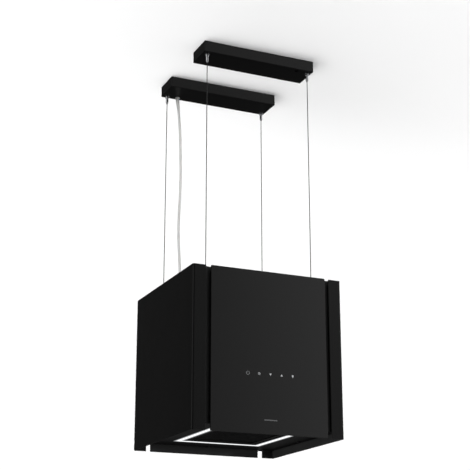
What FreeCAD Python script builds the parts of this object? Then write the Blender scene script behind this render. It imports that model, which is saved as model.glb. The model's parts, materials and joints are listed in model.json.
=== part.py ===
import FreeCAD, Part
import math
import os

V = FreeCAD.Vector
os.makedirs("parts", exist_ok=True)

# Island range hood on four ropes. Millimetres, +Z up.
# Origin: on the ceiling plane, at the centre of the four ceiling screws.
# +X runs along the hood's front, from its left to its right; the front faces -Y.

# ---------------------------------------------------------------- driving dimensions
HOOD_W = 380.0            # width across the two side shells
HOOD_D = 378.0            # depth over the corner strips
HOOD_H = 378.0            # height of the shells
HOOD_TOP = -586.0         # top edge of the shells below the ceiling
SHELL_T = 1.5             # side shell sheet
SHELL_R = 4.5             # outer bend radius of the vertical corners
STRIP_W = 32.4            # corner strip, from the side face inwards
GLASS_HALF = 146.0        # half width of the front and rear panels
GLASS_T = 4.0
GLASS_PROUD = 3.5         # panel face in front of the corner strips
HOUSING_X = 177.0         # inner housing, outside half sizes
HOUSING_Y = 181.0
HOUSING_T = 1.2
HOUSING_TOP = -588.5
HOUSING_BOTTOM = -947.8
PLATE_TOP = -587.0        # upper face of the top plate
UNDER_Z = -946.2          # lower face of the underside plate
BAR_L = 300.0             # ceiling bar
BAR_W = 76.0
BAR_H = 28.0
BAR_T = 1.5
BAR_Y = 113.0             # bar centre from the hood's centre plane
ROPE_X = 138.0
ROPE_Y = 138.0
ROPE_R = 1.1
ROPE_BORE = 1.4
SCREW_X = 100.0           # ceiling screws
SCREW_R = 2.75
SUPPLY_R = 9.0            # hole for the house supply
CABLE_X = 108.0           # cable hole in each bar
CABLE_Y = 139.0
CABLE_HOLE_R = 4.25
CABLE_D = 6.6
LED_OUT = 115.0           # half size of the light ring, outside and inside
LED_IN = 95.0
FILTER_HALF = 92.5        # grease filter half width
FILTER_TOP = -937.7
FILTER_T = 7.0
FILTER_AXIS_Y = 86.0
FILTER_AXIS_Z = -941.2
FAN_Y = -72.0             # blower axis, along X
FAN_Z = -790.0
FAN_R = 68.0
SCROLL_R0 = 78.0
SCROLL_R1 = 122.0
SCROLL_X = 55.0
KEY_Z = -828.6
KEY_PITCH = 28.2
KEY_X0 = 1.0
BADGE_Z = -932.9
ROPE_TAIL = 140.0         # spare rope below each gripper

Y_STRIP = HOOD_D / 2      # 189
X_SHELL = HOOD_W / 2      # 190
HOOD_BOTTOM = HOOD_TOP - HOOD_H
Y_GLASS = Y_STRIP + GLASS_PROUD


# ---------------------------------------------------------------- helpers
def box(x0, x1, y0, y1, z0, z1):
    x0, x1 = min(x0, x1), max(x0, x1)
    y0, y1 = min(y0, y1), max(y0, y1)
    z0, z1 = min(z0, z1), max(z0, z1)
    return Part.makeBox(x1 - x0, y1 - y0, z1 - z0, V(x0, y0, z0))


def cyl(x, y, z0, z1, r):
    z0, z1 = min(z0, z1), max(z0, z1)
    return Part.makeCylinder(r, z1 - z0, V(x, y, z0), V(0, 0, 1))


def cylx(x0, x1, y, z, r):
    x0, x1 = min(x0, x1), max(x0, x1)
    return Part.makeCylinder(r, x1 - x0, V(x0, y, z), V(1, 0, 0))


def cyly(x, y0, y1, z, r):
    y0, y1 = min(y0, y1), max(y0, y1)
    return Part.makeCylinder(r, y1 - y0, V(x, y0, z), V(0, 1, 0))


def turned(x, y, profile):
    """Solid of revolution about the vertical through (x, y); profile is (r, z) points from the axis back to the axis."""
    pts = [V(x + r, y, z) for r, z in profile]
    wire = Part.makePolygon(pts + [pts[0]])
    return Part.Face(wire).revolve(V(x, y, 0), V(0, 0, 1), 360)


def ring_z(x, y, z0, z1, r_in, r_out):
    return cyl(x, y, z0, z1, r_out).cut(cyl(x, y, z0 - 1, z1 + 1, r_in))


def ring_x(x0, x1, y, z, r_in, r_out):
    a, b = min(x0, x1), max(x0, x1)
    return cylx(a, b, y, z, r_out).cut(cylx(a - 1, b + 1, y, z, r_in))


def vertical_edges(shape, test=None):
    found = []
    for e in shape.Edges:
        if len(e.Vertexes) != 2:
            continue
        a, b = e.Vertexes[0].Point, e.Vertexes[1].Point
        if abs(a.x - b.x) < 1e-6 and abs(a.y - b.y) < 1e-6 and abs(a.z - b.z) > 1e-6:
            if test is None or test(a):
                found.append(e)
    return found


def edges_at(shape, test):
    """Edges whose two ends both meet the test."""
    return [
        e
        for e in shape.Edges
        if len(e.Vertexes) == 2 and test(e.Vertexes[0].Point) and test(e.Vertexes[1].Point)
    ]


def hexagon(x, y, z0, z1, across):
    r = across / 2 / math.cos(math.pi / 6)
    pts = [
        V(x + r * math.cos(math.radians(60 * i + 30)), y + r * math.sin(math.radians(60 * i + 30)), z0)
        for i in range(6)
    ]
    return Part.Face(Part.makePolygon(pts + [pts[0]])).extrude(V(0, 0, z1 - z0))


def square_ring(half_out, half_in, z0, z1):
    return box(-half_out, half_out, -half_out, half_out, z0, z1).cut(
        box(-half_in, half_in, -half_in, half_in, z0 - 1, z1 + 1)
    )


def group(solids):
    flat = []
    for s in solids:
        flat.extend(s.Solids)
    return Part.makeCompound(flat)


def turn180(shape):
    s = shape.copy()
    s.rotate(V(0, 0, 0), V(0, 0, 1), 180)
    return s


def mirror_x(shape):
    return shape.mirror(V(0, 0, 0), V(1, 0, 0))


def cord_tube(name, points, diameter):
    """Straight runs joined by tangent arcs; each arc is as large as its two runs allow."""
    p = [V(*q) for q in points]
    edges = []
    start = p[0]
    length = 0.0
    radii = []
    for i in range(1, len(p) - 1):
        a, b, c = p[i - 1], p[i], p[i + 1]
        u = (b - a).normalize()
        w = (c - b).normalize()
        turn = u.getAngle(w)
        run = min((b - a).Length, (c - b).Length)
        cut = 0.45 * run
        radius = cut / math.tan(turn / 2)
        radii.append(round(radius, 1))
        t0 = b - u * cut
        t1 = b + w * cut
        bis = (w - u).normalize()
        centre = b + bis * (radius / math.cos(turn / 2))
        mid = centre - bis * radius
        edges.append(Part.LineSegment(start, t0).toShape())
        edges.append(Part.Arc(t0, mid, t1).toShape())
        length += (t0 - start).Length + radius * turn
        start = t1
    edges.append(Part.LineSegment(start, p[-1]).toShape())
    length += (p[-1] - start).Length
    wire = Part.Wire(edges)
    u = (p[1] - p[0]).normalize()
    circle = Part.Wire([Part.makeCircle(diameter / 2, p[0], u)])
    tube = wire.makePipeShell([circle], True, True)
    want = math.pi * diameter * diameter / 4 * length
    print(name, "length", round(length, 1), "radii", radii, "volume ratio", round(tube.Volume / want, 4))
    return tube


nodes = {}

# ---------------------------------------------------------------- ceiling bars
# Built as the front bar; the rear bar is the same pieces turned by 180 degrees.
fy = -BAR_Y
rope_y = -ROPE_Y


def ceiling_bracket():
    b = box(-146, 146, fy - 35, fy + 35, -2, 0)
    b = b.fuse(box(-144, 144, fy - 35, fy - 33, -9, -2))
    b = b.fuse(box(-144, 144, fy + 33, fy + 35, -9, -2))
    for s in (-1, 1):
        b = b.fuse(box(s * 144, s * 146, fy - 35, fy + 35, -26.5, -2))
        b = b.fuse(box(s * 124, s * 146, fy - 35, fy - 12, -26.5, -24.5))
    b = b.removeSplitter()
    for s in (-1, 1):
        b = b.cut(cyl(s * ROPE_X, rope_y, -30, -20, 4.1))
        b = b.cut(cyl(s * SCREW_X, fy, -5, 5, SCREW_R))
    b = b.cut(cyl(0, fy, -5, 5, SUPPLY_R))
    return b


def ceiling_cover():
    o = box(-BAR_L / 2, BAR_L / 2, fy - BAR_W / 2, fy + BAR_W / 2, -BAR_H, 0)
    o = o.makeFillet(1.6, vertical_edges(o))
    o = o.makeFillet(0.8, [e for e in o.Edges if all(abs(v.Point.z + BAR_H) < 1e-6 for v in e.Vertexes)])
    i = box(
        -BAR_L / 2 + BAR_T, BAR_L / 2 - BAR_T, fy - BAR_W / 2 + BAR_T, fy + BAR_W / 2 - BAR_T, -BAR_H + BAR_T, 1
    )
    o = o.cut(i)
    for s in (-1, 1):
        o = o.cut(cyl(s * ROPE_X, rope_y, -30, -20, 4.2))
    o = o.cut(cyl(CABLE_X, -CABLE_Y, -30, -20, CABLE_HOLE_R))
    return o


def coupler(x, y):
    body = turned(
        x,
        y,
        [
            (ROPE_BORE, -52.0),
            (2.1, -52.0),
            (3.5, -47.0),
            (3.5, -37.5),
            (4.6, -34.5),
            (4.6, -31.2),
            (5.9, -31.2),
            (6.35, -30.7),
            (6.35, -28.0),
            (4.0, -28.0),
            (4.0, -19.0),
            (ROPE_BORE, -19.0),
        ],
    )
    return body


nodes["ceiling_bracket_front"] = ceiling_bracket()
nodes["ceiling_bracket_rear"] = turn180(nodes["ceiling_bracket_front"])
nodes["ceiling_cover_front"] = ceiling_cover()
nodes["ceiling_cover_rear"] = turn180(nodes["ceiling_cover_front"])

corners = {
    "front_left": (-ROPE_X, -ROPE_Y),
    "front_right": (ROPE_X, -ROPE_Y),
    "rear_left": (-ROPE_X, ROPE_Y),
    "rear_right": (ROPE_X, ROPE_Y),
}
GRIP_BOTTOM = PLATE_TOP - 17.0
TAIL_Z = GRIP_BOTTOM - ROPE_TAIL

nodes["rope_couplers"] = group([coupler(x, y) for x, y in corners.values()])
nodes["coupler_nuts"] = group(
    [hexagon(x, y, -24.5, -19.8, 11.0).cut(cyl(x, y, -30, -15, 4.0)) for x, y in corners.values()]
)
for k, (x, y) in corners.items():
    nodes["rope_" + k] = cyl(x, y, TAIL_Z, -9.5, ROPE_R)


def end_stop(x, y, z0):
    return turned(
        x,
        y,
        [
            (ROPE_R, z0 + 0.0),
            (1.9, z0 + 0.0),
            (2.2, z0 + 0.6),
            (2.2, z0 + 7.4),
            (1.9, z0 + 8.0),
            (ROPE_R, z0 + 8.0),
        ],
    )


nodes["rope_end_stops"] = group(
    [end_stop(x, y, -19.0) for x, y in corners.values()]
    + [end_stop(x, y, TAIL_Z) for x, y in corners.values()]
)

# Terminal block above the cable hole of the rear bar
tb = box(-CABLE_X - 19, -CABLE_X + 19, CABLE_Y - 12, CABLE_Y + 6, -15, -2)
for i in range(3):
    tb = tb.cut(cyly(-CABLE_X - 12 + 12 * i, CABLE_Y - 13, CABLE_Y - 6, -8.5, 2.6))
nodes["terminal_block"] = tb

# Bush where the cable leaves the rear bar; its tapered strain relief follows the cable
bush = turned(
    -CABLE_X,
    CABLE_Y,
    [
        (0.0, -34.0),
        (4.6, -34.0),
        (5.2, -29.6),
        (5.6, -29.6),
        (6.0, -29.2),
        (6.0, -28.0),
        (4.2, -28.0),
        (4.2, -26.5),
        (5.0, -26.5),
        (5.0, -22.0),
        (0.0, -22.0),
    ],
)

# Cable route: along = to the right and forwards, deep = away from the front left, both level
ALONG = (0.9136, -0.4065)
DEEP = (0.4065, 0.9136)
ROUTE = [  # along, deep, z
    (0.0, 0.0, -15.5),
    (0.0, 0.0, -34.0),
    (3.5, -0.8, -66.0),
    (8.0, -2.6, -120.0),
    (11.0, -4.6, -200.0),
    (11.7, -4.4, -290.0),
    (7.9, -2.2, -370.0),
    (8.2, 0.2, -430.0),
    (12.2, 0.9, -490.0),
    (13.2, 0.0, -545.0),
    (13.2, 0.0, -603.0),
]
cable_points = [
    (-CABLE_X + a * ALONG[0] + d * DEEP[0], CABLE_Y + a * ALONG[1] + d * DEEP[1], z) for a, d, z in ROUTE
]
GLAND_X, GLAND_Y = cable_points[-1][0], cable_points[-1][1]
print("cable points", [tuple(round(c, 2) for c in q) for q in cable_points])
nodes["power_cable"] = cord_tube("power_cable", cable_points, CABLE_D)

sleeve_axis = (V(*cable_points[2]) - V(*cable_points[1])).normalize()
sleeve = Part.makeCone(4.75, 3.9, 27.0, V(*cable_points[1]) - sleeve_axis * 2.0, sleeve_axis)
bush = bush.fuse(sleeve).removeSplitter()
bore = cord_tube("bore of the strain relief", cable_points[:5], CABLE_D + 0.16)
nodes["cable_bush"] = bush.cut(bore)

# ---------------------------------------------------------------- side shells
def left_shell():
    o = box(-X_SHELL, -X_SHELL + STRIP_W, -Y_STRIP, Y_STRIP, HOOD_BOTTOM, HOOD_TOP)
    o = o.makeFillet(SHELL_R, vertical_edges(o, lambda p: p.x < -X_SHELL + 1))
    i = box(
        -X_SHELL + SHELL_T, 0, -Y_STRIP + SHELL_T, Y_STRIP - SHELL_T, HOOD_BOTTOM - 1, HOOD_TOP + 1
    )
    i = i.makeFillet(SHELL_R - SHELL_T, vertical_edges(i, lambda p: p.x < -X_SHELL + SHELL_T + 1))
    s = o.cut(i)
    flange = box(-X_SHELL + SHELL_T - 0.2, -177.4, -172, 172, HOOD_TOP - SHELL_T, HOOD_TOP)
    s = s.fuse(flange).removeSplitter()
    free = edges_at(
        s,
        lambda p: abs(p.x + X_SHELL - STRIP_W) < 1e-4 and abs(abs(p.y) - Y_STRIP) < 1e-4,
    )
    s = s.makeFillet(0.5, free)
    return s


nodes["left_shell"] = left_shell()
nodes["right_shell"] = mirror_x(nodes["left_shell"])

spacers = []
for sx in (-1, 1):
    for y in (-120, 120):
        for z in (-632, -905):
            hat = box(sx * HOUSING_X, sx * (X_SHELL - SHELL_T), y - 12, y + 12, z - 18, z + 18)
            hat = hat.cut(box(sx * HOUSING_X, sx * (X_SHELL - SHELL_T - 1.5), y - 13, y + 13, z - 12, z + 12))
            hat = hat.fuse(box(sx * HOUSING_X, sx * (HOUSING_X + 1.5), y - 12, y + 12, z - 18, z + 18))
            hat = hat.removeSplitter()
            hat = hat.cut(cylx(sx * 170, sx * 195, y, z, 2.1).common(cylx(sx * 170, sx * 183, y, z, 2.1)))
            spacers.append(hat)
nodes["shell_spacers"] = group(spacers)

# ---------------------------------------------------------------- inner housing, top plate, underside plate
def inner_housing():
    o = box(-HOUSING_X, HOUSING_X, -HOUSING_Y, HOUSING_Y, HOUSING_BOTTOM, HOUSING_TOP)
    o = o.makeFillet(2.0, vertical_edges(o))
    xi, yi = HOUSING_X - HOUSING_T, HOUSING_Y - HOUSING_T
    i = box(-xi, xi, -yi, yi, HOUSING_BOTTOM - 1, HOUSING_TOP + 1)
    i = i.makeFillet(0.8, vertical_edges(i))
    h = o.cut(i)
    for z0, z1 in ((HOUSING_TOP - 1.2, HOUSING_TOP), (UNDER_Z + 1.2, UNDER_Z + 2.4)):
        f = box(-xi - 0.4, xi + 0.4, -yi - 0.4, yi + 0.4, z0, z1)
        f = f.makeFillet(1.2, vertical_edges(f))
        f = f.cut(box(-xi + 14, xi - 14, -yi + 14, yi - 14, z0 - 1, z1 + 1))
        h = h.fuse(f)
    h = h.removeSplitter()
    return h


CASE_POINTS = [(168, 172), (-168, 172), (168, -172), (-168, -172), (168, 0), (-168, 0), (0, 172), (0, -172)]
housing = inner_housing()
for x, y in CASE_POINTS:
    housing = housing.cut(cyl(x, y, HOUSING_TOP - 5, HOUSING_TOP + 5, 2.1))
    housing = housing.cut(cyl(x, y, UNDER_Z - 2, UNDER_Z + 6, 2.1))
for sx in (-1, 1):
    for y in (-120, 120):
        for z in (-632, -905):
            housing = housing.cut(cylx(sx * 170, sx * 180, y, z, 2.1))
CARRIER_POINTS = [(-110, -620), (110, -620), (-110, -915), (110, -915)]
for sy in (-1, 1):
    for x, z in CARRIER_POINTS:
        housing = housing.cut(cyly(x, sy * 175, sy * 185, z, 2.1))
nodes["inner_housing"] = housing

top = box(-HOUSING_X + 1, HOUSING_X - 1, -HOUSING_Y + 1, HOUSING_Y - 1, HOUSING_TOP, PLATE_TOP)
top = top.makeFillet(2.0, vertical_edges(top))
top = top.cut(box(-75, 75, -75, 75, HOUSING_TOP - 1, PLATE_TOP + 1))
for x, y in corners.values():
    top = top.cut(cyl(x, y, HOUSING_TOP - 1, PLATE_TOP + 1, 5.05))
top = top.cut(cyl(GLAND_X, GLAND_Y, HOUSING_TOP - 1, PLATE_TOP + 1, 8.05))
for x, y in CASE_POINTS:
    top = top.cut(cyl(x, y, HOUSING_TOP - 1, PLATE_TOP + 1, 2.1))
nodes["top_plate"] = top

# Outlet grille with sloping slats
grille = square_ring(82.0, 72.5, PLATE_TOP, PLATE_TOP + 2.5)
grille = grille.makeFillet(0.8, [e for e in grille.Edges if all(abs(v.Point.z - PLATE_TOP - 2.5) < 1e-6 for v in e.Vertexes) and max(abs(v.Point.x) for v in e.Vertexes) > 81 and max(abs(v.Point.y) for v in e.Vertexes) > 81])
grille = grille.fuse(square_ring(74.6, 72.5, PLATE_TOP - 13.0, PLATE_TOP))
SLATS = 11
for k in range(SLATS):
    yc = (k - (SLATS - 1) / 2) * 12.6
    slat = box(-73, 73, -0.75, 0.75, -6.2, 6.2)
    slat.rotate(V(0, 0, 0), V(1, 0, 0), 32 if yc < -1 else (-32 if yc > 1 else 0))
    slat.translate(V(0, yc, PLATE_TOP - 4.6))
    grille = grille.fuse(slat)
for x in (-36.5, 0, 36.5):
    grille = grille.fuse(box(x - 0.9, x + 0.9, -73, 73, PLATE_TOP - 12.5, PLATE_TOP - 8.2))
nodes["outlet_grille"] = grille.removeSplitter()

# Underside plate round the light ring
LED_WALL = 1.5
CH_OUT = LED_OUT + LED_WALL
CH_IN = LED_IN - LED_WALL
under = box(-175.6, 175.6, -179.6, 179.6, UNDER_Z, UNDER_Z + 1.2)
under = under.makeFillet(0.7, vertical_edges(under))
under = under.cut(box(-CH_OUT - 0.4, CH_OUT + 0.4, -CH_OUT - 0.4, CH_OUT + 0.4, UNDER_Z - 1, UNDER_Z + 3))
for x, y in CASE_POINTS:
    under = under.cut(cyl(x, y, UNDER_Z - 2, UNDER_Z + 6, 2.1))
nodes["underside_plate"] = under

# Pan-head screws of the case: under the plate, on the top plate, through the side walls and through the carriers
def screw(head, axis, length=9.0, r=2.0, head_r=3.6, head_h=2.2):
    h, a = V(*head), V(*axis)
    s = Part.makeCylinder(r, length + head_h, h - a * head_h, a)
    dome = Part.makeCylinder(head_r, head_h, h - a * head_h, a)
    dome = dome.makeFillet(0.9, [e for e in dome.Edges if len(e.Vertexes) == 1 and abs((e.Vertexes[0].Point - h).dot(a) + head_h) < 1e-6])
    drive = Part.makeCylinder(1.2, 1.2, h - a * (head_h + 0.001), a)
    return s.fuse(dome).removeSplitter().cut(drive)


screws = []
for x, y in CASE_POINTS:
    screws.append(screw((x, y, UNDER_Z), (0, 0, 1)))
    screws.append(screw((x, y, PLATE_TOP), (0, 0, -1)))
for sx in (-1, 1):
    for y in (-120, 120):
        for z in (-632, -905):
            screws.append(screw((sx * (HOUSING_X - HOUSING_T), y, z), (sx, 0, 0), 7.0))
for sy in (-1, 1):
    for x, z in CARRIER_POINTS:
        screws.append(screw((x, sy * (HOUSING_Y + 1.2), z), (0, -sy, 0), 6.0))
nodes["case_screws"] = group(screws)

# ---------------------------------------------------------------- front and rear panels
def panel(sign):
    y0, y1 = sign * (Y_GLASS - GLASS_T), sign * Y_GLASS
    g = box(-GLASS_HALF, GLASS_HALF, y0, y1, HOOD_BOTTOM, HOOD_TOP)
    g = g.makeFillet(1.2, [e for e in g.Edges if all(abs(abs(v.Point.x) - GLASS_HALF) < 1e-6 for v in e.Vertexes) and abs(e.Vertexes[0].Point.y - e.Vertexes[1].Point.y) > 1])
    g = g.makeFillet(0.6, [e for e in g.Edges if all(abs(v.Point.y - sign * Y_GLASS) < 1e-6 for v in e.Vertexes)])
    return g


def carrier(sign):
    y_wall = sign * HOUSING_Y
    y_glass = sign * (Y_GLASS - GLASS_T)
    t = 1.2
    x, z0, z1 = 140.0, -944.0, -592.0
    c = box(-x, x, y_wall, y_glass, z0, z1)
    c = c.cut(box(-x + t, x - t, y_wall + sign * t, y_glass + sign * 1, z0 + t, z1 - t))
    c = c.cut(box(-64, 76, y_wall - sign * 1, y_wall + sign * 3, KEY_Z - 8, KEY_Z + 8)) if sign < 0 else c
    for px, pz in CARRIER_POINTS:
        c = c.cut(cyly(px, sign * 175, sign * 185, pz, 2.1))
    return c


nodes["front_glass"] = panel(-1)
nodes["rear_panel"] = panel(1)
nodes["front_carrier"] = carrier(-1)
nodes["rear_carrier"] = carrier(1)

keys = []
for k in range(5):
    keys.append(
        cyly(KEY_X0 + (k - 2) * KEY_PITCH, -Y_GLASS - 0.15, -Y_GLASS, KEY_Z, 5.8 if k == 0 else 4.6)
    )
nodes["touch_key_symbols"] = group(keys)
nodes["badge_dash"] = box(KEY_X0 - 16.5, KEY_X0 + 16.5, -Y_GLASS - 0.4, -Y_GLASS, BADGE_Z - 1.1, BADGE_Z + 1.1)

board = box(-66, 70, -188.5, -186.9, KEY_Z - 14, KEY_Z + 14)
for k in range(5):
    board = board.fuse(box(KEY_X0 + (k - 2) * KEY_PITCH - 4, KEY_X0 + (k - 2) * KEY_PITCH + 4, -186.9, -185.3, KEY_Z - 3, KEY_Z + 3))
board = board.fuse(box(-60, -50, -186.9, -184.9, KEY_Z + 5, KEY_Z + 12))
nodes["touch_board"] = board.removeSplitter()

# ---------------------------------------------------------------- light ring
ch = square_ring(CH_OUT, CH_IN, UNDER_Z, UNDER_Z + 14)
ch = ch.cut(square_ring(LED_OUT, LED_IN, UNDER_Z - 1, UNDER_Z + 12.5))
ch = ch.fuse(square_ring(CH_OUT + 8, CH_OUT - 0.5, UNDER_Z + 1.2, UNDER_Z + 2.7))
ch = ch.fuse(box(-60, 60, -CH_IN - 0.5, -84, UNDER_Z + 12.5, UNDER_Z + 14))
ch = ch.removeSplitter()
for s in (-1, 1):
    ch = ch.cut(cylx(s * (CH_IN - 2), s * (LED_IN + 2), FILTER_AXIS_Y, FILTER_AXIS_Z, 2.06))
nodes["led_channel"] = ch

zl = UNDER_Z + 12.5
mid = (LED_OUT + LED_IN) / 2
boards = [
    box(-mid - 5, mid - 6, -mid - 5, -mid + 5, zl - 1.6, zl),
    box(mid - 5, mid + 5, -mid - 5, mid - 6, zl - 1.6, zl),
    box(-mid + 6, mid + 5, mid - 5, mid + 5, zl - 1.6, zl),
    box(-mid - 5, -mid + 5, -mid + 6, mid + 5, zl - 1.6, zl),
]
nodes["led_boards"] = group(boards)
nodes["led_diffuser"] = square_ring(LED_OUT - 0.1, LED_IN + 0.1, UNDER_Z, UNDER_Z + 2.5)

# ---------------------------------------------------------------- grease filter
z0, z1 = FILTER_TOP - FILTER_T, FILTER_TOP
ff = box(-FILTER_HALF, FILTER_HALF, -FILTER_HALF, 91.0, z0, z1)
ff = ff.makeFillet(1.0, vertical_edges(ff))
ff = ff.cut(box(-82, 82, -82, 80.5, z0 - 1, z1 + 1))
ff = ff.cut(box(-84, 84, -84, 82.5, z0 + 1.5, z1 - 1.5))
pull = box(-20, 20, -91, -84.5, z0 - 1, z0 + 1.0)
pull = pull.makeFillet(3.0, vertical_edges(pull))
ff = ff.cut(pull)
for s in (-1, 1):
    ff = ff.cut(cylx(s * 86.5, s * 93.5, FILTER_AXIS_Y, FILTER_AXIS_Z, 2.0))
nodes["filter_frame"] = ff
nodes["filter_mesh"] = box(-83.8, 83.8, -83.8, 82.3, z0 + 1.6, z1 - 1.6)
nodes["filter_pivot_pins"] = group(
    [cylx(s * 86.5, s * 95.9, FILTER_AXIS_Y, FILTER_AXIS_Z, 2.0) for s in (-1, 1)]
)
nodes["filter_magnets"] = group([cyl(s * 40, -88.6, FILTER_TOP + 0.8, UNDER_Z + 12.5, 4.5) for s in (-1, 1)])

# ---------------------------------------------------------------- blower
def polar(r, deg):
    return (FAN_Y + r * math.cos(math.radians(deg)), FAN_Z + r * math.sin(math.radians(deg)))


SPAN0, SPAN1 = 50.0, 360.0


def spiral_r(deg):
    return SCROLL_R0 + (SCROLL_R1 - SCROLL_R0) * (deg - SPAN0) / (SPAN1 - SPAN0)


def scroll_outline(shrink, z_top):
    degs = [SPAN0 + (SPAN1 - SPAN0) * k / 40.0 for k in range(41)]
    pts = []
    for d in degs:
        y, z = polar(spiral_r(d) - shrink, d)
        pts.append(V(0, y, z))
    if shrink:
        y_l = polar(SCROLL_R0 + 2.0, SPAN0)[0] + shrink
        r_in = SCROLL_R0 - shrink
        z_l = FAN_Z + math.sqrt(max(r_in * r_in - (y_l - FAN_Y) ** 2, 0.0))
        first = V(0, y_l, z_l)
        edges = [Part.LineSegment(first, pts[0]).toShape()]
        start_line = first
    else:
        y0, zz = polar(SCROLL_R0 + 2.0, SPAN0)
        first = V(0, y0, zz)
        edges = [Part.LineSegment(first, pts[0]).toShape()]
        start_line = first
    curve = Part.BSplineCurve()
    curve.interpolate(pts)
    edges.append(curve.toShape())
    a = V(0, pts[-1].y, z_top)
    b = V(0, start_line.y, z_top)
    edges.append(Part.LineSegment(pts[-1], a).toShape())
    edges.append(Part.LineSegment(a, b).toShape())
    edges.append(Part.LineSegment(b, start_line).toShape())
    return Part.Face(Part.Wire(edges))


Z_STUB = -706.0
outer = scroll_outline(0.0, Z_STUB)
outer.translate(V(-SCROLL_X, 0, 0))
outer = outer.extrude(V(2 * SCROLL_X, 0, 0))
inner = scroll_outline(2.0, Z_STUB + 1)
inner.translate(V(-SCROLL_X + 2, 0, 0))
inner = inner.extrude(V(2 * SCROLL_X - 4, 0, 0))
scroll = outer.cut(inner)
for s in (-1, 1):
    scroll = scroll.cut(cylx(s * (SCROLL_X - 5), s * (SCROLL_X + 5), FAN_Y, FAN_Z, 58.0))
    scroll = scroll.fuse(ring_x(s * SCROLL_X, s * (SCROLL_X + 8.4), FAN_Y, FAN_Z, 58.0, 62.0))
    for a in (90, 210, 330):
        lug = ring_x(s * (SCROLL_X + 4.4), s * (SCROLL_X + 6.4), FAN_Y, FAN_Z, 61.0, 66.8)
        wedge = box(s * (SCROLL_X + 4), s * (SCROLL_X + 7), -18, 18, 50, 75)
        wedge.rotate(V(0, 0, 0), V(1, 0, 0), a - 90)
        wedge.translate(V(0, FAN_Y, FAN_Z))
        scroll = scroll.fuse(lug.common(wedge))
scroll = scroll.removeSplitter()
SCROLL_SCREWS = [polar(spiral_r(120) + 4, 120), polar(spiral_r(215) + 4, 215), polar(spiral_r(300) + 4, 300)]
for y, z in SCROLL_SCREWS:
    scroll = scroll.fuse(cylx(-9, 9, y, z, 5.5).cut(inner))
scroll = scroll.removeSplitter()
for y, z in SCROLL_SCREWS:
    scroll = scroll.cut(cylx(-12, 12, y, z, 1.9))
big = 400
nodes["scroll_left"] = scroll.common(Part.makeBox(big, 2 * big, 2 * big, V(-big, FAN_Y - big, FAN_Z - big)))
nodes["scroll_right"] = scroll.common(Part.makeBox(big, 2 * big, 2 * big, V(0, FAN_Y - big, FAN_Z - big)))

# Duct from the scroll's outlet to the grille
STUB_Y0 = polar(SCROLL_R0 + 2.0, SPAN0)[0]
STUB_Y1 = FAN_Y + SCROLL_R1


def rect_wire(x, y0, y1, z):
    p = [V(-x, y0, z), V(x, y0, z), V(x, y1, z), V(-x, y1, z)]
    return Part.makePolygon(p + [p[0]])


def duct_body(grow):
    x, ya, yb = SCROLL_X + 0.3 + grow, STUB_Y0 - 0.3 - grow, STUB_Y1 + 0.3 + grow
    u = 75.6 + grow
    low = box(-x, x, ya, yb, -715 if not grow else -714, -699)
    loft = Part.makeLoft([rect_wire(x, ya, yb, -699), rect_wire(u, -u, u, -612)], True, True)
    high = box(-u, u, -u, u, -612, -587 if not grow else HOUSING_TOP)
    return low.fuse(loft).fuse(high)


duct = duct_body(1.8)
flange = square_ring(88.0, 76.0, HOUSING_TOP - 1.8, HOUSING_TOP)
duct = duct.fuse(flange).cut(duct_body(0.0)).removeSplitter()
DUCT_SCREWS = [(-84.8, -84.8), (84.8, -84.8), (-84.8, 84.8), (84.8, 84.8)]
for x, y in DUCT_SCREWS:
    duct = duct.cut(cyl(x, y, HOUSING_TOP - 5, HOUSING_TOP + 5, 1.9))
    nodes["top_plate"] = nodes["top_plate"].cut(cyl(x, y, HOUSING_TOP - 1, PLATE_TOP + 1, 1.9))
nodes["outlet_duct"] = duct

bs = []
for x, y in DUCT_SCREWS:
    bs.append(screw((x, y, PLATE_TOP), (0, 0, -1), 7.0, 1.8, 3.2, 1.8))
for y, z in SCROLL_SCREWS:
    bs.append(screw((9, y, z), (-1, 0, 0), 16.0, 1.8, 3.2, 1.8))
nodes["blower_screws"] = group(bs)

# Motor inside the wheel, carried in the left inlet
can = cylx(-52, -6, FAN_Y, FAN_Z, 40.0)
can = can.makeFillet(3.0, [e for e in can.Edges if len(e.Vertexes) == 1])
can = can.cut(cylx(-50, -8, FAN_Y, FAN_Z, 38.0))
can = can.cut(cylx(-55, 0, FAN_Y, FAN_Z, 8.0))
for s in (-52, -10):
    seat = ring_x(s, s + 4, FAN_Y, FAN_Z, 8.0, 11.5)
    can = can.fuse(seat)
nodes["motor_housing"] = can.removeSplitter()
nodes["motor_bearings"] = group([ring_x(s, s + 4, FAN_Y, FAN_Z, 4.03, 8.0) for s in (-52, -10)])
stator = ring_x(-44, -14, FAN_Y, FAN_Z, 24.0, 38.0)
for k in range(12):
    slot = box(-45, -13, -1.4, 1.4, 23, 34)
    slot.rotate(V(0, 0, 0), V(1, 0, 0), 30 * k)
    slot.translate(V(0, FAN_Y, FAN_Z))
    stator = stator.cut(slot)
nodes["motor_stator"] = stator
nodes["motor_rotor"] = ring_x(-43, -15, FAN_Y, FAN_Z, 4.0, 23.4)
nodes["motor_shaft"] = cylx(-53, 24, FAN_Y, FAN_Z, 4.0)

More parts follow.
